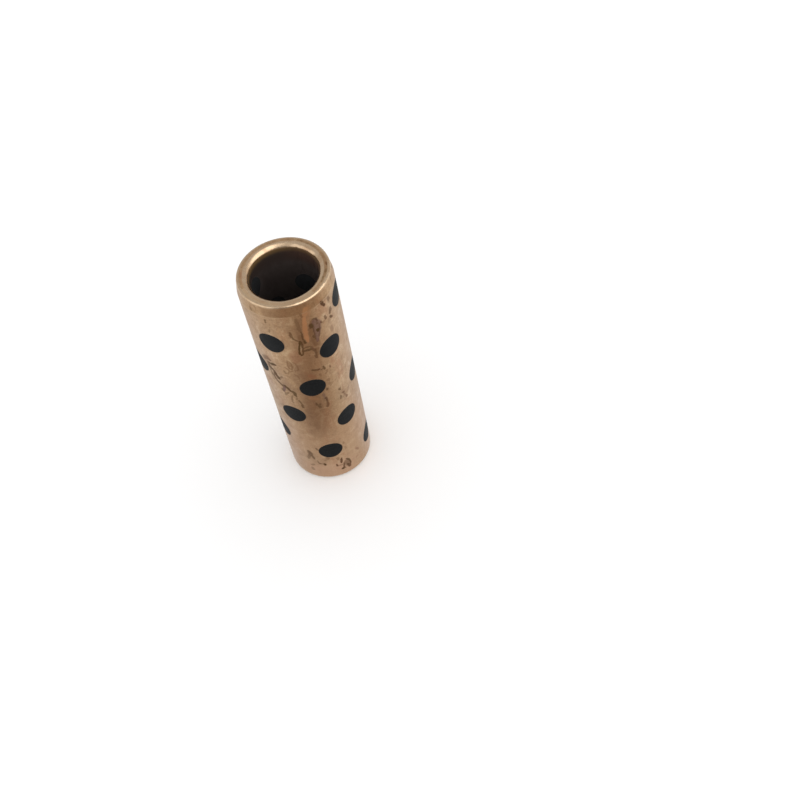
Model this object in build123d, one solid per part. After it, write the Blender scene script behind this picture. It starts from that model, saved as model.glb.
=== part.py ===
from build123d import *
import math
import os

# Graphite plugged plain bushing: a bronze sleeve with radial holes, each filled with a
# cylindrical graphite plug that is finished flush with the outside and with the bore.
# Millimetres. +Z runs up the bore, the sleeve stands on its plain end, and the origin is
# at the middle of that end. The lead-in end is up.

# ---- sleeve -----------------------------------------------------------------------
OUTER_D = 21.0          # outside diameter, sits in the housing
BORE_D = 15.0           # running bore
LENGTH = 68.0           # end face to end face
LEAD_IN_LENGTH = 2.8    # shallow cone that starts the sleeve into its housing, top end
LEAD_IN_DEPTH = 0.50    # how far the cone draws in at the end face, on the radius
LEAD_IN_ROUND = 0.50    # broken edge between the cone and the end face
MOUTH_ROUND_TOP = 1.30  # rounded mouth of the bore at the lead-in end
MOUTH_ROUND_BASE = 0.80 # rounded mouth of the bore at the plain end
BASE_CHAMFER = 0.60     # 45 degree chamfer at the plain end
BASE_BLEND = 0.25       # softened edges of that chamfer

# ---- plugs ------------------------------------------------------------------------
PLUG_D = 6.0            # plug and hole diameter
RINGS = 11              # rings of plugs up the sleeve
RING_PITCH = 5.4        # from one ring to the next
TOP_MARGIN = 6.5        # from the lead-in end face to the top ring's centre
RING_TWIST = 72.0       # each ring is turned by this much from the one above it, degrees
TOP_RING_ANGLE = 72.0   # where the top ring's first plug faces, from -Y towards +X

R_OUT = OUTER_D / 2
R_BORE = BORE_D / 2
R_PLUG = PLUG_D / 2


def sleeve_blank():
    """The turned sleeve without its holes: one closed section spun about Z."""
    corners = [
        (R_BORE, 0),
        (R_OUT - BASE_CHAMFER, 0),
        (R_OUT, BASE_CHAMFER),
        (R_OUT, LENGTH - LEAD_IN_LENGTH),
        (R_OUT - LEAD_IN_DEPTH, LENGTH),
        (R_BORE, LENGTH),
    ]
    section = Face(Wire.make_polygon([Vector(r, 0, z) for r, z in corners], close=True))

    def corner(r, z):
        return min(section.vertices(), key=lambda v: math.hypot(v.X - r, v.Z - z))

    for (r, z), radius in (
        ((R_BORE, LENGTH), MOUTH_ROUND_TOP),
        ((R_OUT - LEAD_IN_DEPTH, LENGTH), LEAD_IN_ROUND),
        ((R_BORE, 0), MOUTH_ROUND_BASE),
        ((R_OUT - BASE_CHAMFER, 0), BASE_BLEND),
        ((R_OUT, BASE_CHAMFER), BASE_BLEND),
    ):
        section = section.fillet_2d(radius, [corner(r, z)])
    return Solid.revolve(section, 360, Axis.Z)


def plug_axis(angle):
    """Unit direction that a plug faces: 0 looks along -Y, and 90 along +X."""
    a = math.radians(angle)
    return Vector(math.sin(a), -math.cos(a), 0)


def drill(angle, z, start, length):
    """A round bar of the plug's diameter along the plug's axis."""
    d = plug_axis(angle)
    base = Plane(origin=(d.X * start, d.Y * start, z), z_dir=d)
    return Solid.make_cylinder(R_PLUG, length, base)


# where every plug sits: name, angle, height
places = []
for ring in range(RINGS):
    z = LENGTH - TOP_MARGIN - RING_PITCH * ring
    first = (TOP_RING_ANGLE + RING_TWIST * ring) % 360
    for side, angle in (("a", first), ("b", (first + 180) % 360)):
        places.append((f"graphite_plug_{ring + 1:02d}{side}", angle, z))

# the wall that every plug is cut to: outside to bore, over the whole length
wall = Solid.make_cylinder(R_OUT, LENGTH) - Solid.make_cylinder(R_BORE, LENGTH)

sleeve = sleeve_blank()
plugs = {}
for name, angle, z in places:
    bar = drill(angle, z, R_BORE - 3.0, R_OUT - R_BORE + 4.0)
    sleeve = sleeve - bar
    plugs[name] = wall & bar


def one_solid(shape):
    solids = shape.solids()
    assert len(solids) == 1, len(solids)
    return solids[0]


os.makedirs("parts", exist_ok=True)
export_step(one_solid(sleeve), "parts/bronze_sleeve.step")
for name, shape in plugs.items():
    export_step(one_solid(shape), f"parts/{name}.step")

print("sleeve volume", round(one_solid(sleeve).volume, 2))
print("plug volumes", round(sum(one_solid(p).volume for p in plugs.values()), 2), "in", len(plugs))
print("last ring to the base", round(places[-1][2], 3))
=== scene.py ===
import bpy
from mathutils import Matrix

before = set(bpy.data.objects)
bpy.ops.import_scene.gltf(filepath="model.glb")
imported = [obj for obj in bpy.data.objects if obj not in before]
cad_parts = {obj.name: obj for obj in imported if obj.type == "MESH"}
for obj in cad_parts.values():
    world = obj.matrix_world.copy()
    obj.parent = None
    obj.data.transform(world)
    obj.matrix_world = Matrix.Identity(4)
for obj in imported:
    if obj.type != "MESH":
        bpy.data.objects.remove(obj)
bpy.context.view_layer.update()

import bpy
import math
from mathutils import Matrix, Vector

scene = bpy.context.scene
UNIT = 0.00105  # a tenth of the outside radius, in metres


# ---- camera: the photograph's viewing angle and framing -------------------------------
def make_camera():
    cam = bpy.data.cameras.new("camera")
    cam.sensor_width = 36.0
    cam.lens = 954.531 / 800 * 36.0
    cam.clip_start, cam.clip_end = 0.005, 20.0
    ob = bpy.data.objects.new("camera", cam)
    scene.collection.objects.link(ob)
    right = Vector((0.97277, -0.213087, -0.091169))
    down = Vector((-0.226438, -0.789869, -0.569941))
    ahead = Vector((0.049435, 0.575066, -0.816612))
    place = Vector((7.50641, -134.86633, 203.51597)) * UNIT
    m = Matrix.Identity(4)
    for i in range(3):
        m[i][0], m[i][1], m[i][2], m[i][3] = right[i], -down[i], -ahead[i], place[i]
    ob.matrix_world = m
    scene.camera = ob
    return ob


camera = make_camera()
scene.view_settings.view_transform = "Standard"
scene.view_settings.look = "None"


# ---- small node helpers ---------------------------------------------------------------
class Tree:
    def __init__(self, tree):
        self.tree = tree

    def add(self, kind, **values):
        n = self.tree.nodes.new(kind)
        for k, v in values.items():
            setattr(n, k, v)
        return n

    def link(self, a, b):
        self.tree.links.new(a, b)

    def put(self, socket, value):
        if isinstance(value, bpy.types.NodeSocket):
            self.link(value, socket)
        elif value is not None:
            socket.default_value = value

    def math(self, op, a, b=None, c=None, clamp=False):
        n = self.add("ShaderNodeMath", operation=op, use_clamp=clamp)
        self.put(n.inputs[0], a)
        if b is not None:
            self.put(n.inputs[1], b)
        if c is not None:
            self.put(n.inputs[2], c)
        return n.outputs[0]

    def ramp(self, value, low, high, to_low=0.0, to_high=1.0, smooth=True):
        n = self.add("ShaderNodeMapRange", clamp=not smooth)
        n.interpolation_type = "SMOOTHSTEP" if smooth else "LINEAR"
        self.put(n.inputs["Value"], value)
        self.put(n.inputs["From Min"], low)
        self.put(n.inputs["From Max"], high)
        self.put(n.inputs["To Min"], to_low)
        self.put(n.inputs["To Max"], to_high)
        return n.outputs["Result"]

    def mix(self, factor, a, b):
        n = self.add("ShaderNodeMix", data_type="RGBA")
        self.put(n.inputs[0], factor)
        for socket, value in ((n.inputs[6], a), (n.inputs[7], b)):
            if isinstance(value, (tuple, list)) and len(value) == 3:
                value = (*value, 1.0)
            self.put(socket, value)
        return n.outputs[2]

    def xyz(self, x, y, z):
        n = self.add("ShaderNodeCombineXYZ")
        for socket, value in zip(n.inputs, (x, y, z)):
            self.put(socket, value)
        return n.outputs[0]

    def noise(self, vector, scale, detail=2.0, rough=0.5, distort=0.0):
        n = self.add("ShaderNodeTexNoise", noise_dimensions="3D")
        self.put(n.inputs["Vector"], vector)
        n.inputs["Scale"].default_value = scale
        n.inputs["Detail"].default_value = detail
        n.inputs["Roughness"].default_value = rough
        n.inputs["Distortion"].default_value = distort
        return n.outputs[0]


def new_material(name):
    mat = bpy.data.materials.new(name)
    mat.use_nodes = True
    mat.node_tree.nodes.clear()
    t = Tree(mat.node_tree)
    out = t.add("ShaderNodeOutputMaterial")
    bsdf = t.add("ShaderNodeBsdfPrincipled")
    t.link(bsdf.outputs[0], out.inputs["Surface"])
    return mat, t, bsdf


# ---- bronze ---------------------------------------------------------------------------
# Lengths in the materials are in tenths of the outside radius, 1.05 mm each.
# Stains and painted shade on the wall, as strokes drawn. Each is a kind, a strength, and points of
# (angle in degrees from -Y towards +X, height, half width).
WALL_STAINS_AND_SHADE = [
    # orange streak under the lead-in, with a dark line beside it
    ("orange", 0.85, (12.0, 60.6, 0.24), (10.8, 59.0, 0.28), (9.4, 57.0, 0.30), (8.9, 54.9, 0.28), (9.4, 53.3, 0.12)),
    ("orange", 0.62, (16.4, 62.8, 0.34), (14.0, 61.7, 0.36), (12.0, 60.6, 0.26)),
    ("orange", 0.30, (19.5, 62.9, 0.34), (17.5, 61.4, 0.34), (16.0, 60.0, 0.24)),
    ("brown", 0.55, (9.0, 62.1, 0.14), (10.2, 61.3, 0.16)),
    ("dark", 0.30, (2.0, 61.0, 0.22), (2.8, 58.6, 0.24), (3.6, 57.2, 0.20)),
    ("dark", 0.62, (4.2, 56.9, 0.12), (4.5, 56.2, 0.16), (4.2, 54.9, 0.14), (5.2, 53.9, 0.18)),
    ("dark", 0.75, (5.4, 53.9, 0.18), (5.8, 53.3, 0.18)),
    ("brown", 0.40, (1.5, 55.6, 0.30), (2.4, 53.4, 0.36)),
    # hook and open loop below it
    ("dark", 0.55, (-8.4, 57.4, 0.16), (-8.2, 56.6, 0.20), (-8.4, 55.9, 0.12)),
    ("dark", 0.62, (-8.2, 56.2, 0.12), (-6.4, 55.4, 0.11), (-4.0, 54.8, 0.11), (-1.5, 54.4, 0.13), (-0.2, 54.1, 0.18)),
    ("dark", 0.85, (-0.4, 54.2, 0.15), (-1.5, 53.1, 0.14), (-2.6, 52.2, 0.14), (-3.7, 51.2, 0.12), (-4.0, 50.4, 0.14), (-2.4, 49.8, 0.17)),
    ("dark", 0.70, (-2.4, 49.8, 0.17), (-0.6, 49.9, 0.14), (0.2, 50.4, 0.13), (1.0, 51.6, 0.12), (1.4, 52.8, 0.14), (1.6, 53.8, 0.14)),
    ("light", 0.30, (-0.4, 53.0, 0.12), (-1.6, 51.2, 0.14)),
    # two bars with a right leg
    ("dark", 0.50, (2.2, 51.8, 0.14), (6.0, 51.9, 0.14), (9.5, 51.8, 0.14), (12.0, 51.2, 0.18)),
    ("dark", 0.66, (1.6, 50.9, 0.16), (5.0, 50.9, 0.20), (9.5, 50.9, 0.20), (13.0, 50.6, 0.22), (14.6, 49.9, 0.20)),
    ("dark", 0.60, (14.4, 50.4, 0.18), (15.0, 49.2, 0.16), (14.2, 48.2, 0.20), (14.8, 47.6, 0.18)),
    ("brown", 0.50, (17.6, 50.3, 0.26), (17.0, 48.4, 0.24)),
    # mauve and brown patch right of the streak
    ("purple", 0.80, (23.2, 58.4, 0.45), (25.2, 57.2, 0.62), (23.8, 55.4, 0.52), (22.2, 53.8, 0.34), (20.8, 52.4, 0.20)),
    ("purple", 0.50, (20.6, 57.6, 0.30), (20.4, 55.4, 0.26)),
    ("dark", 0.60, (21.0, 59.3, 0.12), (24.5, 59.0, 0.15), (26.2, 58.2, 0.10)),
    ("dark", 1.00, (24.2, 55.6, 0.24), (24.4, 55.3, 0.22)),
    ("dark", 0.45, (24.8, 57.9, 0.14), (25.3, 57.3, 0.14)),
    ("dark", 0.35, (26.6, 57.6, 0.10), (27.6, 56.6, 0.10), (26.4, 55.2, 0.10), (24.0, 53.4, 0.12)),
    ("dark", 0.75, (17.3, 58.0, 0.26), (17.6, 57.3, 0.30)),
    ("brown", 0.60, (19.6, 58.8, 0.26), (17.4, 57.6, 0.40), (16.2, 55.4, 0.44), (16.6, 53.4, 0.36), (17.6, 51.6, 0.30)),
    ("dark", 0.45, (18.9, 57.2, 0.12), (19.2, 55.3, 0.10), (18.6, 53.4, 0.12)),
    ("dark", 0.60, (17.3, 54.4, 0.18), (17.9, 54.0, 0.16)),
    ("brown", 0.40, (20.4, 52.8, 0.26), (21.4, 51.4, 0.22)),
    # dashes over the middle plug
    ("dark", 0.60, (5.4, 44.1, 0.18), (8.0, 43.9, 0.17), (11.0, 43.6, 0.16), (13.6, 43.6, 0.15)),
    ("dark", 0.66, (19.2, 43.9, 0.11), (19.8, 43.2, 0.22), (20.2, 42.9, 0.16)),
    ("dark", 0.40, (16.0, 43.1, 0.12), (18.5, 43.4, 0.12)),
    ("dark", 0.55, (27.6, 42.9, 0.12), (28.3, 42.4, 0.14)),
    ("brown", 0.50, (20.5, 41.3, 0.18), (22.5, 41.5, 0.14), (22.8, 42.2, 0.12)),
    ("brown", 0.40, (12.8, 41.8, 0.18), (13.4, 41.2, 0.16)),
    ("brown", 0.45, (21.4, 38.9, 0.22), (22.0, 38.5, 0.18)),
    ("brown", 0.35, (21.8, 37.4, 0.26), (23.6, 36.8, 0.24)),
    ("dark", 0.50, (17.0, 36.2, 0.16), (16.6, 35.8, 0.18)),
    ("red", 0.55, (1.5, 42.3, 0.36), (4.0, 41.7, 0.34), (7.0, 41.4, 0.20)),
    # spots near the top on the right
    ("dark", 1.00, (37.2, 62.0, 0.24), (38.1, 61.6, 0.26), (38.8, 61.2, 0.16), (40.4, 60.8, 0.20), (41.4, 60.6, 0.15)),
    ("dark", 0.50, (49.0, 61.4, 0.26), (49.4, 60.8, 0.26)),
    ("brown", 0.45, (48.0, 60.4, 0.18), (49.2, 60.1, 0.18)),
    ("dark", 0.68, (37.6, 57.8, 0.18), (38.5, 57.0, 0.20)),
    ("dark", 0.60, (30.2, 57.1, 0.14), (31.2, 56.8, 0.13)),
    ("dark", 0.35, (31.2, 56.8, 0.12), (33.2, 56.6, 0.13), (35.4, 56.7, 0.10)),
    ("dark", 0.62, (48.8, 58.5, 0.18), (48.2, 57.8, 0.30), (47.0, 57.3, 0.24)),
    ("dark", 0.70, (46.0, 56.3, 0.18), (47.4, 55.9, 0.20), (48.4, 55.6, 0.14)),
    ("brown", 0.40, (43.4, 53.1, 0.34), (44.6, 52.3, 0.30)),
    ("red", 0.40, (32.6, 51.8, 0.20), (33.4, 51.5, 0.22)),
    # specks near the top on the left
    ("dark", 0.55, (-33.8, 61.0, 0.14), (-34.4, 60.2, 0.13)),
    ("dark", 0.35, (-32.0, 58.0, 0.14), (-33.0, 57.2, 0.12)),
    ("dark", 0.34, (-52.2, 63.0, 0.16), (-50.4, 62.6, 0.13)),
    ("dark", 0.24, (-46.4, 64.0, 0.14), (-44.0, 63.7, 0.12)),
    # chain of marks down the left side
    ("dark", 0.55, (-57.0, 46.6, 0.40), (-51.0, 47.2, 0.44), (-47.0, 46.8, 0.24)),
    ("dark", 0.90, (-50.0, 45.6, 0.16), (-46.2, 45.4, 0.24), (-43.6, 45.6, 0.28), (-40.6, 45.8, 0.20)),
    ("dark", 0.65, (-51.0, 45.6, 0.26), (-51.4, 44.4, 0.24), (-50.4, 43.4, 0.22)),
    ("dark", 0.50, (-52.0, 42.8, 0.16), (-50.6, 41.8, 0.14), (-51.4, 41.2, 0.12)),
    ("dark", 0.85, (-49.0, 43.9, 0.20), (-45.8, 43.1, 0.20), (-44.6, 42.2, 0.22)),
    ("dark", 0.85, (-44.6, 42.2, 0.18), (-42.4, 41.3, 0.28), (-41.2, 40.7, 0.24)),
    ("dark", 0.45, (-41.0, 41.2, 0.12), (-38.2, 41.3, 0.12), (-36.0, 41.9, 0.14)),
    ("dark", 0.60, (-46.6, 42.0, 0.15), (-48.2, 41.2, 0.15), (-46.8, 40.2, 0.18), (-43.0, 39.2, 0.18), (-40.0, 38.6, 0.16)),
    ("brown", 0.50, (-45.0, 39.4, 0.22), (-41.2, 38.6, 0.18)),
    ("purple", 0.90, (-36.0, 38.7, 0.18), (-37.4, 37.7, 0.24), (-38.8, 36.8, 0.22), (-39.8, 36.2, 0.14)),
    ("dark", 0.60, (-39.6, 38.4, 0.18), (-38.0, 38.7, 0.14)),
    ("dark", 0.80, (-35.2, 38.5, 0.20), (-33.4, 38.1, 0.23), (-31.0, 37.5, 0.20), (-29.6, 37.0, 0.20)),
    ("dark", 0.72, (-29.6, 36.9, 0.18), (-26.6, 36.8, 0.26), (-24.6, 36.3, 0.25), (-24.8, 35.7, 0.24), (-24.0, 35.2, 0.14)),
    ("dark", 0.55, (-41.6, 37.1, 0.15), (-41.3, 36.4, 0.17)),
    ("dark", 0.45, (-33.6, 36.2, 0.13), (-36.4, 35.4, 0.13), (-38.8, 35.1, 0.15), (-38.0, 35.9, 0.14)),
    ("dark", 0.40, (-28.5, 35.5, 0.13), (-31.0, 34.2, 0.13), (-31.0, 32.6, 0.13)),
    ("dark", 0.35, (-24.0, 34.7, 0.12), (-25.0, 33.9, 0.12)),
    ("dark", 0.55, (-22.2, 33.8, 0.12), (-20.8, 33.0, 0.13), (-19.0, 32.0, 0.18)),
    ("dark", 0.62, (-19.4, 31.8, 0.18), (-19.5, 31.1, 0.18), (-18.3, 30.9, 0.11)),
    ("brown", 0.62, (-22.0, 48.2, 0.10), (-19.8, 48.0, 0.12), (-17.8, 47.2, 0.12), (-17.4, 46.0, 0.14), (-19.0, 45.2, 0.14), (-21.6, 45.4, 0.12), (-22.8, 46.6, 0.10), (-22.0, 47.8, 0.10)),
    ("brown", 0.50, (-20.6, 47.2, 0.18), (-19.6, 46.4, 0.22)),
    ("brown", 0.50, (-15.4, 47.6, 0.12), (-12.6, 47.2, 0.12), (-10.8, 46.0, 0.12), (-11.8, 44.8, 0.12), (-14.4, 44.6, 0.12)),
    ("brown", 0.55, (-27.0, 45.8, 0.10), (-24.6, 45.2, 0.14), (-22.4, 44.4, 0.12), (-18.6, 44.6, 0.12)),
    ("brown", 0.42, (-17.6, 43.4, 0.12), (-14.6, 43.0, 0.14), (-12.8, 42.0, 0.12)),
    ("red", 0.40, (-15.0, 49.6, 0.24), (-10.0, 49.4, 0.30)),
    ("dark", 0.40, (-29.8, 44.4, 0.12), (-28.6, 43.6, 0.15)),
    ("dark", 0.30, (-23.8, 44.3, 0.12), (-25.6, 43.5, 0.13)),
    ("red", 0.40, (-10.8, 50.6, 0.60), (-9.4, 48.4, 0.70)),
    # between the plugs lower down
    ("purple", 0.50, (10.4, 34.9, 0.16), (11.6, 33.4, 0.22), (12.8, 32.5, 0.22)),
    ("dark", 0.62, (12.7, 33.3, 0.16), (13.1, 31.7, 0.18), (12.8, 30.6, 0.22), (11.8, 29.9, 0.22)),
    ("dark", 0.55, (-1.3, 32.3, 0.14), (-1.0, 31.6, 0.18)),
    ("dark", 0.55, (2.9, 31.6, 0.18), (1.3, 31.1, 0.18), (2.3, 30.4, 0.22)),
    ("orange", 0.30, (-6.0, 34.4, 0.30), (-1.0, 34.0, 0.30), (2.0, 33.6, 0.22)),
    ("dark", 0.58, (31.8, 33.6, 0.10), (33.6, 33.3, 0.24), (34.6, 32.9, 0.14)),
    ("dark", 0.48, (36.6, 31.5, 0.14), (38.4, 31.1, 0.24)),
    ("dark", 0.56, (32.3, 30.9, 0.14), (32.9, 30.3, 0.24), (32.0, 29.9, 0.18)),
    ("dark", 0.40, (36.2, 29.9, 0.14), (35.2, 29.5, 0.12)),
    ("dark", 0.50, (41.2, 29.3, 0.18), (42.5, 28.9, 0.22)),
    ("dark", 0.35, (39.4, 30.3, 0.14), (40.6, 29.7, 0.14)),
    ("brown", 0.40, (48.2, 31.0, 0.22), (47.0, 30.4, 0.26)),
    ("brown", 0.22, (-9.6, 24.4, 0.34), (-7.6, 22.8, 0.40)),
    # near the base
    ("dark", 0.55, (-18.8, 13.8, 0.16), (-17.8, 13.0, 0.14)),
    ("dark", 0.66, (-31.4, 12.0, 0.26), (-30.2, 11.2, 0.38), (-29.6, 10.5, 0.34)),
    ("dark", 0.60, (-29.0, 10.6, 0.20), (-27.0, 9.6, 0.18), (-26.5, 8.8, 0.18)),
    ("dark", 0.42, (-31.6, 10.3, 0.28), (-33.8, 9.3, 0.26), (-35.6, 8.4, 0.20)),
    ("dark", 0.40, (-30.0, 6.0, 0.22), (-33.0, 5.6, 0.22)),
    ("dark", 0.40, (-33.4, 4.1, 0.26), (-33.0, 3.4, 0.26)),
    ("dark", 0.50, (-22.5, 8.1, 0.11), (-21.7, 7.4, 0.14), (-20.6, 6.9, 0.18)),
    ("dark", 0.45, (-20.6, 6.9, 0.16), (-17.5, 6.8, 0.13), (-14.5, 6.6, 0.13)),
    ("dark", 0.90, (-13.8, 6.6, 0.22), (-13.3, 6.2, 0.20)),
    ("brown", 0.60, (-8.2, 9.3, 0.24), (-6.4, 8.9, 0.26)),
    ("brown", 0.40, (-11.2, 8.3, 0.18), (-7.2, 8.7, 0.18)),
    ("red", 0.60, (-1.6, 8.6, 0.26), (-0.6, 8.2, 0.22)),
    ("brown", 0.55, (6.0, 8.3, 0.24), (6.6, 7.6, 0.18)),
    ("red", 0.55, (12.4, 9.3, 0.22), (15.4, 9.4, 0.18), (16.0, 8.9, 0.16)),
    ("dark", 0.85, (11.4, 7.7, 0.12), (10.6, 7.0, 0.18), (10.2, 6.3, 0.20), (9.5, 5.7, 0.11)),
    ("light", 0.35, (6.5, 6.8, 0.14), (5.8, 5.8, 0.14)),
    ("light", 0.30, (14.0, 6.8, 0.14), (13.2, 6.2, 0.12)),
    ("dark", 0.80, (2.4, 5.7, 0.13), (2.7, 5.1, 0.18), (3.3, 4.9, 0.13)),
    ("dark", 0.35, (3.8, 4.8, 0.10), (8.0, 4.9, 0.13), (11.0, 4.7, 0.13)),
    ("dark", 0.75, (13.2, 5.2, 0.13), (13.0, 4.5, 0.17), (12.4, 4.0, 0.15)),
    ("dark", 0.90, (11.4, 3.5, 0.14), (9.8, 3.0, 0.24), (9.2, 3.2, 0.18)),
    ("dark", 0.55, (11.6, 3.7, 0.11), (13.2, 3.0, 0.14)),
    # olive patch with a darker edge
    ("dark", 0.80, (18.4, 6.5, 0.14), (20.4, 5.8, 0.20), (22.0, 5.2, 0.18), (22.8, 4.4, 0.15), (22.2, 3.6, 0.14)),
    ("dark", 0.55, (17.2, 5.6, 0.36), (18.5, 4.8, 0.50), (19.4, 4.0, 0.42)),
    ("dark", 0.85, (18.4, 4.0, 0.22), (20.0, 3.2, 0.26), (20.6, 2.8, 0.22)),
    ("dark", 0.50, (15.2, 5.5, 0.16), (16.4, 4.2, 0.18), (17.6, 3.4, 0.18)),
    ("light", 0.25, (14.8, 4.7, 0.11), (16.0, 3.9, 0.10)),
    ("red", 0.60, (35.8, 8.2, 0.16), (38.0, 7.4, 0.24), (40.4, 6.6, 0.20)),
    ("brown", 0.40, (36.6, 7.8, 0.16), (39.4, 6.9, 0.20)),
    ("red", 0.55, (33.8, 4.5, 0.20), (37.4, 4.4, 0.14)),
    ("brown", 0.40, (19.4, 14.0, 0.12), (19.9, 13.2, 0.14)),
    ("brown", 0.35, (20.4, 11.6, 0.18), (21.0, 10.8, 0.16)),
    # nicks of tarnish on the rim, on the right
    ("dark", 0.55, (84.0, 64.0, 0.20), (86.5, 63.7, 0.16)),
    ("dark", 0.45, (68.0, 64.1, 0.16), (66.0, 63.8, 0.14)),
    # soft shading
    ("shade", 0.30, (15.8, 52.6, 0.60), (16.4, 49.4, 0.50)),
    ("shade", 0.30, (4.0, 60.0, 0.60), (3.0, 56.0, 0.60)),
    ("shade", 0.20, (-6.0, 33.0, 1.20), (-8.0, 27.0, 1.70), (-9.0, 21.0, 1.50)),
    ("shade", 0.34, (-52.0, 46.0, 0.70), (-45.0, 43.0, 0.90), (-38.0, 40.5, 1.00), (-28.0, 37.8, 0.90)),
    ("shade", 0.30, (-13.0, 46.5, 0.60), (-14.0, 43.0, 0.90), (-14.0, 40.0, 0.70)),
    ("shade", 0.30, (-28.0, 63.0, 0.70), (-14.0, 61.0, 0.80), (-12.0, 58.0, 0.60)),
    ("shade", 0.22, (-34.0, 9.5, 1.40), (-24.0, 8.0, 1.20), (-12.0, 8.6, 0.80)),
    ("shade", 0.22, (35.5, 32.5, 0.90), (35.0, 30.0, 0.90)),
]

# Marks on the upper end face: kind, strength, points of (angle, radius, half width).
END_MARKS = [
    ("dark", 0.60, (88.0, 8.85, 0.14), (84.0, 8.98, 0.14)),
    ("dark", 0.42, (71.0, 8.60, 0.12), (76.0, 8.74, 0.12)),
    ("brown", 0.40, (108.0, 8.62, 0.26), (94.0, 8.72, 0.28), (78.0, 8.66, 0.26), (64.0, 8.66, 0.16)),
    ("dark", 0.45, (62.5, 8.50, 0.12), (60.0, 8.62, 0.12)),
    ("dark", 0.38, (57.5, 8.66, 0.12), (54.5, 8.76, 0.12)),
    ("brown", 0.35, (150.0, 8.82, 0.18), (140.0, 8.60, 0.22), (128.0, 8.52, 0.22), (114.0, 8.52, 0.18)),
    ("dark", 0.42, (137.0, 8.50, 0.08), (134.0, 8.54, 0.08)),
    ("dark", 0.42, (147.0, 8.72, 0.08), (145.0, 8.66, 0.08)),
    ("dark", 0.36, (125.0, 8.66, 0.08), (123.0, 8.76, 0.08)),
    # painted highlight along the near side of the end face
    ("light", 0.45, (-72.0, 8.70, 0.26), (-54.0, 8.75, 0.30), (-34.0, 8.80, 0.30), (-12.0, 8.80, 0.30), (10.0, 8.78, 0.28), (32.0, 8.78, 0.24)),
    ("red", 0.40, (-101.0, 8.45, 0.26), (-96.0, 8.47, 0.24)),
    ("red", 0.40, (-40.0, 8.36, 0.14), (-36.0, 8.34, 0.14)),
    ("dark", 0.30, (-80.0, 9.15, 0.10), (-77.0, 9.18, 0.10)),
    # painted shade: breaks in the bright line of the near rim
    ("brown", 0.65, (-28.0, 9.32, 0.14), (-22.0, 9.32, 0.13)),
    ("brown", 0.70, (-3.0, 9.34, 0.13), (2.5, 9.32, 0.14)),
    ("brown", 0.42, (4.0, 9.32, 0.12), (14.0, 9.30, 0.11)),
]


def stroke_group():
    """How strongly a point lies on one straight stroke, or what it had before if that is more."""
    g = bpy.data.node_groups.new("stroke", "ShaderNodeTree")
    for name, kind in (("Point", "Vector"), ("Start", "Vector"), ("Run", "Vector"), ("Unit", "Vector"),
                       ("Width", "Float"), ("Taper", "Float"), ("Strength", "Float"), ("Before", "Float")):
        g.interface.new_socket(name=name, in_out="INPUT", socket_type=f"NodeSocket{kind}")
    g.interface.new_socket(name="Value", in_out="OUTPUT", socket_type="NodeSocketFloat")
    t = Tree(g)
    point, start, run, unit, width, taper, strength, before, _ = t.add("NodeGroupInput").outputs

    def vector(op, a, b, out=0):
        n = t.add("ShaderNodeVectorMath", operation=op)
        t.put(n.inputs[0], a)
        t.put(n.inputs[1], b)
        return n.outputs[out]

    rel = vector("SUBTRACT", point, start)
    along = t.math("MINIMUM", t.math("MAXIMUM", vector("DOT_PRODUCT", rel, unit, out=1), 0.0), 1.0)
    n = t.add("ShaderNodeVectorMath", operation="SCALE")
    t.link(run, n.inputs[0])
    t.link(along, n.inputs["Scale"])
    d = vector("DISTANCE", rel, n.outputs[0], out=1)
    d = t.math("DIVIDE", d, t.math("MULTIPLY_ADD", along, taper, width))
    t.link(t.math("MAXIMUM", t.ramp(d, 1.65, 0.75, 0.0, strength), before), t.add("NodeGroupOutput").inputs[0])
    return g


STROKE = stroke_group()


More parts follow.
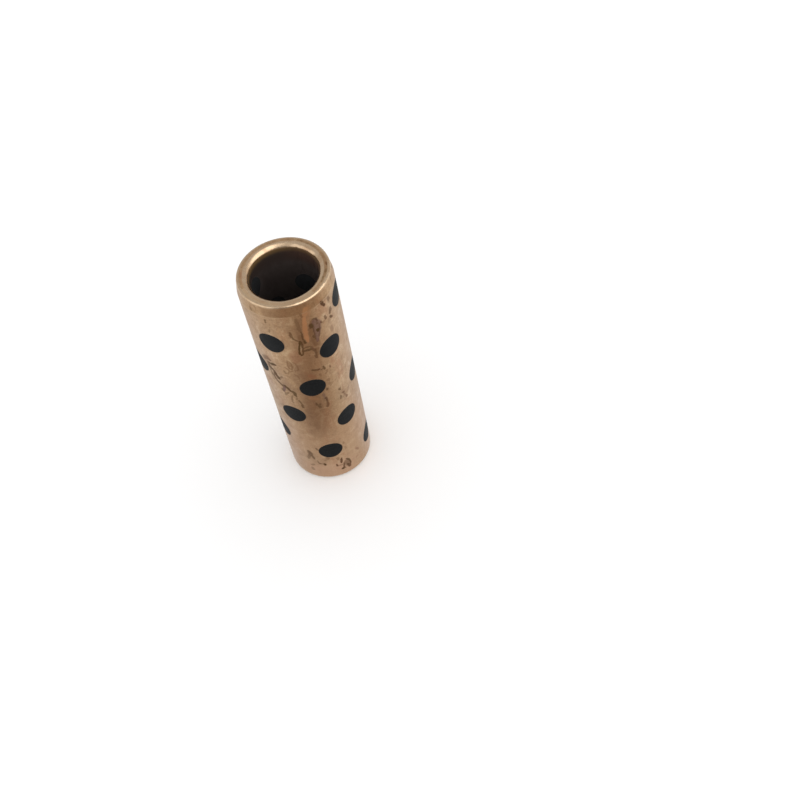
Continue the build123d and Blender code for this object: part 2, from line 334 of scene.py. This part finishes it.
def bronze():
    mat, t, bsdf = new_material("turned_bronze")
    scale = t.add("ShaderNodeVectorMath", operation="SCALE")
    t.link(t.add("ShaderNodeTexCoord").outputs["Object"], scale.inputs[0])
    scale.inputs["Scale"].default_value = 1 / UNIT
    where = scale.outputs[0]
    sep = t.add("ShaderNodeSeparateXYZ")
    t.link(where, sep.inputs[0])
    x, y, z = sep.outputs
    r = t.math("SQRT", t.math("ADD", t.math("MULTIPLY", x, x), t.math("MULTIPLY", y, y)))
    turn = t.math("MULTIPLY", t.math("ARCTAN2", x, t.math("MULTIPLY", y, -1.0)), 180 / math.pi)

    def vector(op, a, b=None, out=0):
        n = t.add("ShaderNodeVectorMath", operation=op)
        t.put(n.inputs[0], a)
        if b is not None:
            t.put(n.inputs[1], b)
        return n.outputs[out]

    def stretch(a, b, c):
        return vector("MULTIPLY", where, (a, b, c))

    # zones
    inside = t.ramp(r, 7.34, 7.18)
    throat = t.ramp(z, 59.3, 62.1)
    # where a painted reflection lies in gold just inside the mouth
    gilt_reflection = t.ramp(z, 62.6, 63.6)
    mouth = t.math("MULTIPLY", t.ramp(r, 8.45, 8.20), t.math("SUBTRACT", 1.0, inside))
    rim = t.math("MULTIPLY", t.ramp(z, 64.16, 64.46), t.ramp(r, 8.90, 9.12))
    cone = t.math("MULTIPLY", t.ramp(z, 62.02, 62.17), t.ramp(r, 9.30, 9.45))
    # the crease between the lead-in cone and the wall, where a highlight is painted
    crease_highlight = t.math("SUBTRACT", 1.0, t.ramp(t.math("ABSOLUTE", t.math("SUBTRACT", z, 62.11)), 0.05, 0.22))
    crease_highlight = t.math("MULTIPLY", crease_highlight, t.ramp(r, 9.30, 9.45))
    foot = t.math("MULTIPLY", t.ramp(z, 0.75, 0.45), t.ramp(r, 9.2, 9.4))
    worn_edge_and_highlight = t.math("MAXIMUM", t.math("MAXIMUM", mouth, rim), foot)

    # wobble for the outlines of the strokes
    wob = t.add("ShaderNodeTexNoise", noise_dimensions="3D")
    t.link(where, wob.inputs["Vector"])
    wob.inputs["Scale"].default_value = 1.3
    wob.inputs["Detail"].default_value = 3.0
    wob.inputs["Roughness"].default_value = 0.6
    shift = vector("SUBTRACT", wob.outputs["Color"], (0.5, 0.5, 0.5))
    n = t.add("ShaderNodeVectorMath", operation="SCALE")
    t.link(shift, n.inputs[0])
    n.inputs["Scale"].default_value = 0.50
    loose = vector("ADD", where, n.outputs[0])

    def on_wall(angle, height):
        a = math.radians(angle)
        rad = 10.0 if height < 62.095 else 10.0 - 0.1786 * (height - 62.095)
        return Vector((rad * math.sin(a), -rad * math.cos(a), height))

    def on_end(angle, radius):
        a = math.radians(angle)
        drop = 0.476 - math.sqrt(max(0.0, 0.2266 - max(0.0, radius - 9.09) ** 2))
        return Vector((radius * math.sin(a), -radius * math.cos(a), 64.762 - drop))

    marks = {}
    marks_of = 1.38  # strokes are drawn a little wider than typed, to allow for their soft edge
    drawn = [(on_wall, *line) for line in WALL_STAINS_AND_SHADE] + [(on_end, *line) for line in END_MARKS]
    for place, kind, strength, *points in drawn:
        for (a0, z0, w0), (a1, z1, w1) in zip(points, points[1:]):
            p0, p1 = place(a0, z0), place(a1, z1)
            w0, w1 = w0 * marks_of, w1 * marks_of
            run = p1 - p0
            n = t.add("ShaderNodeGroup")
            n.node_tree = STROKE
            values = (loose, p0, run, run / run.length_squared, w0, w1 - w0, strength, marks.get(kind))
            for socket, value in zip(n.inputs, values):
                t.put(socket, value)
            marks[kind] = n.outputs[0]

    # how far from the nearest plug's axis: the plugs sit in ten columns, every fifth ring
    column = t.math("ROUND", t.math("DIVIDE", turn, 36.0))
    off = t.math("MULTIPLY", t.math("SUBTRACT", turn, t.math("MULTIPLY", column, 36.0)), math.pi / 180)
    ring = t.math("FLOORED_MODULO", t.math("MULTIPLY_ADD", column, 3.0, -1.0), 5.0)
    top = t.math("MULTIPLY_ADD", ring, -5.1429, 58.571)
    dz = t.math("SUBTRACT", t.math("FLOORED_MODULO", t.math("ADD", t.math("SUBTRACT", z, top), 12.857), 25.714), 12.857)
    centre = t.math("SUBTRACT", z, dz)
    real = t.math("MULTIPLY", t.ramp(centre, 6.0, 6.6, smooth=False), t.ramp(centre, 59.5, 59.1, smooth=False))
    across = t.math("MULTIPLY", r, t.math("SINE", off))
    gap = t.math("SUBTRACT", t.math("SQRT", t.math("ADD", t.math("MULTIPLY", across, across), t.math("MULTIPLY", dz, dz))), 2.857)
    seam = t.math("MULTIPLY", t.ramp(gap, 0.16, 0.02), real)
    smear = t.math("MULTIPLY", t.ramp(t.math("ABSOLUTE", dz), 2.85, 2.10), real)
    smear = t.math("MULTIPLY", smear, t.ramp(gap, 2.4, 0.0))

    # mottling
    big = t.noise(stretch(1, 1, 0.6), 0.16, 3.0, 0.55)
    patch = t.noise(stretch(1, 1, 0.8), 0.55, 3.0, 0.60, 0.6)
    fleck = t.noise(stretch(1, 1, 0.8), 1.6, 2.5, 0.60, 0.4)
    warm = t.noise(stretch(1, 1, 0.35), 0.32, 3.0, 0.6)
    speck = t.noise(stretch(1, 1, 0.9), 3.2, 1.0, 0.5)
    groove = t.add("ShaderNodeVectorMath", operation="MULTIPLY")
    t.link(t.xyz(x, y, t.math("ADD", z, r)), groove.inputs[0])
    groove.inputs[1].default_value = (0.10, 0.10, 4.5)
    lines = t.noise(groove.outputs[0], 1.0, 3.0, 0.7)

    color = t.mix(t.ramp(big, 0.32, 0.68), (0.462, 0.292, 0.162), (0.498, 0.330, 0.190))
    color = t.mix(t.ramp(warm, 0.50, 0.70, 0.0, 0.80), color, (0.450, 0.248, 0.134))
    color = t.mix(t.ramp(patch, 0.54, 0.70, 0.0, 0.45), color, (0.320, 0.198, 0.108))
    color = t.mix(t.ramp(patch, 0.46, 0.32, 0.0, 0.70), color, (0.578, 0.412, 0.252))
    color = t.mix(t.ramp(fleck, 0.57, 0.69, 0.0, 0.38), color, (0.262, 0.158, 0.084))
    color = t.mix(t.ramp(speck, 0.46, 0.32, 0.0, 0.28), color, (0.605, 0.438, 0.275))
    color = t.mix(t.ramp(speck, 0.57, 0.70, 0.0, 0.32), color, (0.240, 0.146, 0.078))
    color = t.mix(t.ramp(lines, 0.35, 0.70, 0.0, 0.24), color, (0.335, 0.205, 0.115))

    rubbed = t.noise(stretch(1, 1, 0.10), 1.15, 3.0, 0.6)
    color = t.mix(t.ramp(rubbed, 0.54, 0.68, 0.0, 0.28), color, (0.330, 0.195, 0.118))
    color = t.mix(t.ramp(rubbed, 0.44, 0.32, 0.0, 0.25), color, (0.600, 0.410, 0.255))

    # a brown band down the front, leaning to the right towards the top: partly tarnish, partly a painted reflection of
    # the dark front
    middle = t.ramp(z, 28.0, 60.0, -9.0, 5.0, smooth=False)
    tarnish_and_reflection_band = t.math("ABSOLUTE", t.math("SUBTRACT", turn, middle))
    tarnish_and_reflection_band = t.math("MULTIPLY", t.ramp(tarnish_and_reflection_band, 20.0, 4.0), t.math("MULTIPLY", t.ramp(z, 15.0, 30.0), t.ramp(z, 61.0, 54.0, 0.25, 1.0)))
    tarnish_and_reflection_band = t.math("MULTIPLY", tarnish_and_reflection_band, t.ramp(patch, 0.25, 0.60, 0.6, 1.0))
    color = t.mix(t.math("MULTIPLY", tarnish_and_reflection_band, 0.36), color, (0.285, 0.155, 0.088))

    # lighter and pinker just above the foot, towards the front
    foot_tint = t.math("MULTIPLY", t.ramp(z, 9.5, 4.0), t.ramp(t.math("ABSOLUTE", t.math("ADD", turn, 8.0)), 50.0, 22.0))
    color = t.mix(t.math("MULTIPLY", foot_tint, 0.55), color, (0.545, 0.330, 0.225))

    # paler low down; browner on the front of the lead-in cone, a painted reflection of the dark front
    color = t.mix(t.ramp(z, 30.0, 16.0, 0.0, 0.26), color, (0.660, 0.400, 0.250))
    color = t.mix(t.math("MULTIPLY", cone, t.ramp(t.math("ABSOLUTE", turn), 50.0, 25.0, 0.0, 0.24)), color, (0.220, 0.120, 0.070))

    # strokes
    bite = t.ramp(fleck, 0.32, 0.48, 0.82, 1.0)
    color = t.mix(t.math("MULTIPLY", marks["shade"], t.ramp(patch, 0.30, 0.60, 0.5, 1.0)), color, (0.240, 0.138, 0.080))
    color = t.mix(t.math("MULTIPLY", marks["red"], 0.8), color, (0.400, 0.190, 0.108))
    # light marks: pale spots on the wall, and the painted highlight on the end face
    color = t.mix(marks["light"], color, (0.600, 0.450, 0.300))
    color = t.mix(t.math("MULTIPLY", marks["orange"], t.ramp(patch, 0.2, 0.6, 0.75, 1.0)), color, (0.640, 0.345, 0.175))
    color = t.mix(t.math("MULTIPLY", marks["brown"], bite), color, (0.215, 0.112, 0.050))
    color = t.mix(t.math("MULTIPLY", marks["purple"], bite), color, (0.210, 0.118, 0.094))
    ink = t.mix(t.ramp(warm, 0.42, 0.58), (0.112, 0.060, 0.013), (0.132, 0.056, 0.017))
    dark = t.math("MINIMUM", t.math("MULTIPLY", t.math("MULTIPLY", marks["dark"], bite), 1.12), 1.0)
    color = t.mix(dark, color, ink)

    # graphite dragged out of the plugs
    color = t.mix(t.math("MULTIPLY", smear, t.ramp(lines, 0.42, 0.66, 0.0, 0.16)), color, (0.120, 0.090, 0.070))
    color = t.mix(t.math("MULTIPLY", seam, 0.55), color, (0.090, 0.065, 0.050))

    # worn edges, bore and end faces; the edges and the crease are lighter partly as painted highlights, the bore darker
    # partly as painted shade
    # painted highlight along the crease between the lead-in cone and the wall
    color = t.mix(t.math("MULTIPLY", crease_highlight, t.ramp(patch, 0.35, 0.60, 0.10, 0.45)), color, (0.570, 0.420, 0.270))
    # edges lighter: partly bare worn metal, partly painted highlight
    color = t.mix(t.math("MULTIPLY", worn_edge_and_highlight, t.ramp(patch, 0.62, 0.45, 0.55, 1.0)), color, (0.560, 0.415, 0.280))
    # the bore's dark film: partly graphite, partly painted shade
    bore_film_and_shade = t.mix(throat, (0.100, 0.079, 0.072), (0.066, 0.046, 0.038))
    bore_film_and_shade = t.mix(t.ramp(patch, 0.35, 0.70, 0.0, 0.5), bore_film_and_shade, (0.066, 0.050, 0.045))
    bore_film_and_shade = t.mix(t.math("MULTIPLY", throat, t.ramp(x, -1.0, 5.0, 0.0, 0.75)), bore_film_and_shade, (0.110, 0.060, 0.046))
    # painted reflection: a gold band just inside the mouth, stronger towards -X
    bore_film_and_shade = t.mix(t.math("MULTIPLY", gilt_reflection, t.ramp(x, 4.0, -4.0, 0.55, 1.0)), bore_film_and_shade, (0.215, 0.130, 0.055))
    color = t.mix(inside, color, bore_film_and_shade)
    t.put(bsdf.inputs["Base Color"], color)

    dirt = t.math("MAXIMUM", t.math("MAXIMUM", dark, marks["purple"]), seam)
    t.put(bsdf.inputs["Metallic"], t.math("SUBTRACT", 1.0, t.math("MAXIMUM", t.math("MULTIPLY", inside, 0.7), t.math("MULTIPLY", dirt, 0.08))))
    rough = t.math("ADD", 0.36, t.ramp(patch, 0.30, 0.70, -0.05, 0.07, smooth=False))
    rough = t.math("ADD", rough, t.ramp(lines, 0.25, 0.75, -0.04, 0.05, smooth=False))
    rough = t.math("ADD", rough, t.math("MULTIPLY", dirt, 0.14))
    rough = t.math("SUBTRACT", rough, t.math("MULTIPLY", worn_edge_and_highlight, 0.15))
    rough = t.math("SUBTRACT", rough, t.math("MULTIPLY", cone, 0.05))
    t.put(bsdf.inputs["Roughness"], rough)
    bsdf.inputs["Anisotropic"].default_value = 0.7
    tan = t.add("ShaderNodeTangent", direction_type="RADIAL", axis="Z")
    t.link(tan.outputs[0], bsdf.inputs["Tangent"])

    height = t.math("ADD", t.math("MULTIPLY", lines, 1.6), t.math("MULTIPLY", fleck, 0.5))
    height = t.math("SUBTRACT", height, t.math("MULTIPLY", t.math("MAXIMUM", dark, seam), 0.8))
    height = t.math("ADD", height, t.math("MULTIPLY", patch, 1.6))
    # the mouth is broken by hand, so its round is not quite even
    round_ = t.add("ShaderNodeVectorMath", operation="NORMALIZE")
    t.link(t.xyz(x, y, 0.0), round_.inputs[0])
    uneven = t.math("SUBTRACT", t.noise(round_.outputs[0], 1.3, 1.0, 0.5), 0.5)
    uneven = t.math("SUBTRACT", uneven, 0.26)
    flat = t.math("MULTIPLY", t.ramp(turn, 112.0, 128.0), t.ramp(turn, 154.0, 146.0))
    uneven = t.math("ADD", uneven, t.math("MULTIPLY", flat, 0.62))
    lip = t.ramp(r, 8.90, 7.00, 0.0, 1.0)
    height = t.math("ADD", height, t.math("MULTIPLY", t.math("MULTIPLY", uneven, lip), 42.0))
    bump = t.add("ShaderNodeBump")
    bump.inputs["Strength"].default_value = 1.0
    bump.inputs["Distance"].default_value = 0.000010
    t.put(bump.inputs["Height"], height)
    # the mesh's normals break by a few degrees where its turned faces close, on +X:
    # in a narrow strip there, turn them to point straight away from (or to) the axis
    geo = t.add("ShaderNodeNewGeometry").outputs["Normal"]
    split = t.add("ShaderNodeSeparateXYZ")
    t.link(geo, split.inputs[0])
    nx, ny, nz = split.outputs
    side = t.math("SQRT", t.math("ADD", t.math("MULTIPLY", nx, nx), t.math("MULTIPLY", ny, ny)))
    side = t.math("MULTIPLY", side, t.ramp(r, 8.70, 8.74, -1.0, 1.0))
    level = vector("MULTIPLY", round_.outputs[0], t.xyz(side, side, 0.0))
    level = vector("ADD", level, t.xyz(0.0, 0.0, nz))
    near = t.ramp(t.math("ABSOLUTE", t.math("SUBTRACT", turn, 90.0)), 7.5, 5.5)
    even = t.add("ShaderNodeMix", data_type="VECTOR")
    t.put(even.inputs[0], near)
    t.link(geo, even.inputs[4])
    t.link(level, even.inputs[5])
    t.link(vector("NORMALIZE", even.outputs[1]), bump.inputs["Normal"])
    t.link(bump.outputs[0], bsdf.inputs["Normal"])
    return mat


def graphite():
    mat, t, bsdf = new_material("graphite")
    scale = t.add("ShaderNodeVectorMath", operation="SCALE")
    t.link(t.add("ShaderNodeTexCoord").outputs["Object"], scale.inputs[0])
    scale.inputs["Scale"].default_value = 1 / UNIT
    where = scale.outputs[0]
    sep = t.add("ShaderNodeSeparateXYZ")
    t.link(where, sep.inputs[0])
    x, y, z = sep.outputs
    r = t.math("SQRT", t.math("ADD", t.math("MULTIPLY", x, x), t.math("MULTIPLY", y, y)))
    inside = t.ramp(r, 7.32, 7.24)

    grain = t.noise(where, 9.0, 3.0, 0.7)
    cloud = t.noise(where, 0.9, 3.0, 0.6)
    pores = t.noise(where, 4.5, 2.0, 0.5)
    pores = t.ramp(pores, 0.66, 0.74)
    groove = t.add("ShaderNodeVectorMath", operation="MULTIPLY")
    t.link(t.xyz(x, y, t.math("ADD", z, r)), groove.inputs[0])
    groove.inputs[1].default_value = (0.14, 0.14, 5.0)
    lines = t.noise(groove.outputs[0], 1.0, 3.0, 0.7)

    color = t.mix(t.ramp(cloud, 0.35, 0.65), (0.0046, 0.0058, 0.0068), (0.0064, 0.0078, 0.0088))
    color = t.mix(t.ramp(grain, 0.45, 0.75, 0.0, 0.5), color, (0.0110, 0.0122, 0.0132))
    color = t.mix(t.ramp(lines, 0.50, 0.75, 0.0, 0.5), color, (0.0100, 0.0104, 0.0108))
    color = t.mix(t.math("MULTIPLY", pores, 0.7), color, (0.0030, 0.0030, 0.0032))
    color = t.mix(inside, color, (0.030, 0.032, 0.034))
    t.put(bsdf.inputs["Base Color"], color)
    rough = t.math("ADD", 0.56, t.ramp(cloud, 0.3, 0.7, -0.05, 0.06, smooth=False))
    rough = t.math("SUBTRACT", rough, t.ramp(lines, 0.45, 0.75, 0.0, 0.10, smooth=False))
    t.put(bsdf.inputs["Roughness"], rough)
    bsdf.inputs["Specular IOR Level"].default_value = 0.08
    height = t.math("ADD", t.math("MULTIPLY", grain, 0.5), lines)
    height = t.math("SUBTRACT", height, t.math("MULTIPLY", pores, 2.5))
    bump = t.add("ShaderNodeBump")
    bump.inputs["Strength"].default_value = 1.0
    bump.inputs["Distance"].default_value = 0.000014
    t.put(bump.inputs["Height"], height)
    t.link(bump.outputs[0], bsdf.inputs["Normal"])
    return mat


bronze_mat, graphite_mat = bronze(), graphite()
for name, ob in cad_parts.items():
    ob.data.materials.clear()
    ob.data.materials.append(bronze_mat if name == "bronze_sleeve" else graphite_mat)


# ---- floor and light --------------------------------------------------------------------
def floor():
    me = bpy.data.meshes.new("floor")
    s = 3.0
    me.from_pydata([(-s, -s, 0), (s, -s, 0), (s, s, 0), (-s, s, 0)], [], [(0, 1, 2, 3)])
    ob = bpy.data.objects.new("floor", me)
    scene.collection.objects.link(ob)
    mat, t, bsdf = new_material("floor")
    bsdf.inputs["Base Color"].default_value = (0.90, 0.90, 0.90, 1)
    bsdf.inputs["Roughness"].default_value = 0.9
    bsdf.inputs["Specular IOR Level"].default_value = 0.1
    # what the metal mirrors of the floor: evenly bright, dimmer towards the open front and back
    sep = t.add("ShaderNodeSeparateXYZ")
    t.link(t.add("ShaderNodeNewGeometry").outputs["Position"], sep.inputs[0])
    x, y, z = sep.outputs
    away = t.math("SQRT", t.math("ADD", t.math("MULTIPLY", x, x), t.math("MULTIPLY", y, y)))
    turn = t.math("MULTIPLY", t.math("ARCTAN2", x, t.math("MULTIPLY", y, -1.0)), 180 / math.pi)
    middle = t.math("ADD", t.ramp(away, 0.032, 0.060, -8.0, 20.0, smooth=False), t.ramp(away, 0.085, 0.110, 0.0, -11.0))
    off = t.math("ABSOLUTE", t.math("SUBTRACT", turn, middle))
    off = t.math("SUBTRACT", off, t.ramp(away, 0.085, 0.110, 0.0, 22.0))
    dim = t.math("MULTIPLY", t.ramp(off, 50.0, 14.0), t.ramp(away, 0.014, 0.036))
    behind = t.math("SUBTRACT", 180.0, t.math("ABSOLUTE", turn))
    dim = t.math("MAXIMUM", dim, t.math("MULTIPLY", t.ramp(behind, 48.0, 8.0, 0.0, 1.0), t.ramp(away, 0.020, 0.050)))
    low = t.mix(t.ramp(away, 0.060, 0.110), (0.45, 0.345, 0.275), (0.55, 0.455, 0.375))
    low = t.mix(t.ramp(away, 0.150, 0.230), low, (0.34, 0.285, 0.245))
    right = t.math("DIVIDE", x, t.math("MAXIMUM", away, 0.001))
    level = t.math("MULTIPLY", t.ramp(away, 0.012, 0.060, 0.85, 1.08), t.ramp(right, -0.6, 0.7, 0.96, 1.05))
    level = t.math("MULTIPLY", level, t.ramp(away, 0.150, 0.300, 1.0, 1.14))
    beside = t.math("MULTIPLY", t.ramp(t.math("ABSOLUTE", right), 0.80, 0.98), t.ramp(away, 0.085, 0.050))
    glow = t.add("ShaderNodeEmission")
    t.put(glow.inputs["Color"], t.mix(dim, t.mix(beside, (0.92, 0.90, 0.87), (1.02, 1.02, 1.04)), low))
    t.put(glow.inputs["Strength"], level)
    mix = t.add("ShaderNodeMixShader")
    t.link(t.add("ShaderNodeLightPath").outputs["Is Glossy Ray"], mix.inputs[0])
    t.link(bsdf.outputs[0], mix.inputs[1])
    t.link(glow.outputs[0], mix.inputs[2])
    t.link(mix.outputs[0], [n for n in mat.node_tree.nodes if n.type == "OUTPUT_MATERIAL"][0].inputs[0])
    me.materials.append(mat)
    return ob


floor()


# a white light tent, brightest in front and to the right; over a matt surface it is even
def tent():
    world = bpy.data.worlds.new("world")
    world.use_nodes = True
    scene.world = world
    world.node_tree.nodes.clear()
    t = Tree(world.node_tree)
    way = t.add("ShaderNodeTexCoord").outputs["Generated"]
    sep = t.add("ShaderNodeSeparateXYZ")
    t.link(way, sep.inputs[0])
    x, y, z = sep.outputs

    def soft_box(aim, wide, narrow, power):
        n = t.add("ShaderNodeVectorMath", operation="DOT_PRODUCT")
        t.link(way, n.inputs[0])
        n.inputs[1].default_value = Vector(aim).normalized()
        return t.ramp(n.outputs["Value"], math.cos(math.radians(wide)), math.cos(math.radians(narrow)), 0.0, power)

    main = t.math("MULTIPLY", soft_box((0.60, -0.44, 0.66), 58, 30, MAIN), t.ramp(y, 0.12, -0.02))
    glow = t.math("MAXIMUM", main, soft_box((-0.88, -0.30, 0.37), 46, 22, LEFT))
    glow = t.math("MAXIMUM", glow, soft_box((0.97, 0.00, 0.10), 41, 18, RIGHT))
    low_front = t.math("MULTIPLY", t.ramp(y, -0.70, -0.92), t.ramp(z, 0.50, 0.25))
    glow = t.math("MAXIMUM", glow, t.math("SUBTRACT", BACK, t.math("MULTIPLY", low_front, 0.30)))
    path = t.add("ShaderNodeLightPath")
    shine = t.add("ShaderNodeBackground")
    shine.inputs["Color"].default_value = (1.0, 0.985, 0.965, 1)
    t.put(shine.inputs["Strength"], glow)
    even = t.add("ShaderNodeBackground")
    even.inputs["Color"].default_value = (1.0, 1.0, 1.0, 1)
    even.inputs["Strength"].default_value = 1.18
    plain = t.add("ShaderNodeBackground")
    plain.inputs["Color"].default_value = (1.0, 1.0, 1.0, 1)
    matt = t.add("ShaderNodeMixShader")
    t.link(path.outputs["Is Glossy Ray"], matt.inputs[0])
    t.link(even.outputs[0], matt.inputs[1])
    t.link(shine.outputs[0], matt.inputs[2])
    mix = t.add("ShaderNodeMixShader")
    t.link(path.outputs["Is Camera Ray"], mix.inputs[0])
    t.link(matt.outputs[0], mix.inputs[1])
    t.link(plain.outputs[0], mix.inputs[2])
    t.link(mix.outputs[0], t.add("ShaderNodeOutputWorld").inputs[0])


BACK, MAIN, LEFT, RIGHT = 0.70, 2.3, 1.35, 1.15
tent()
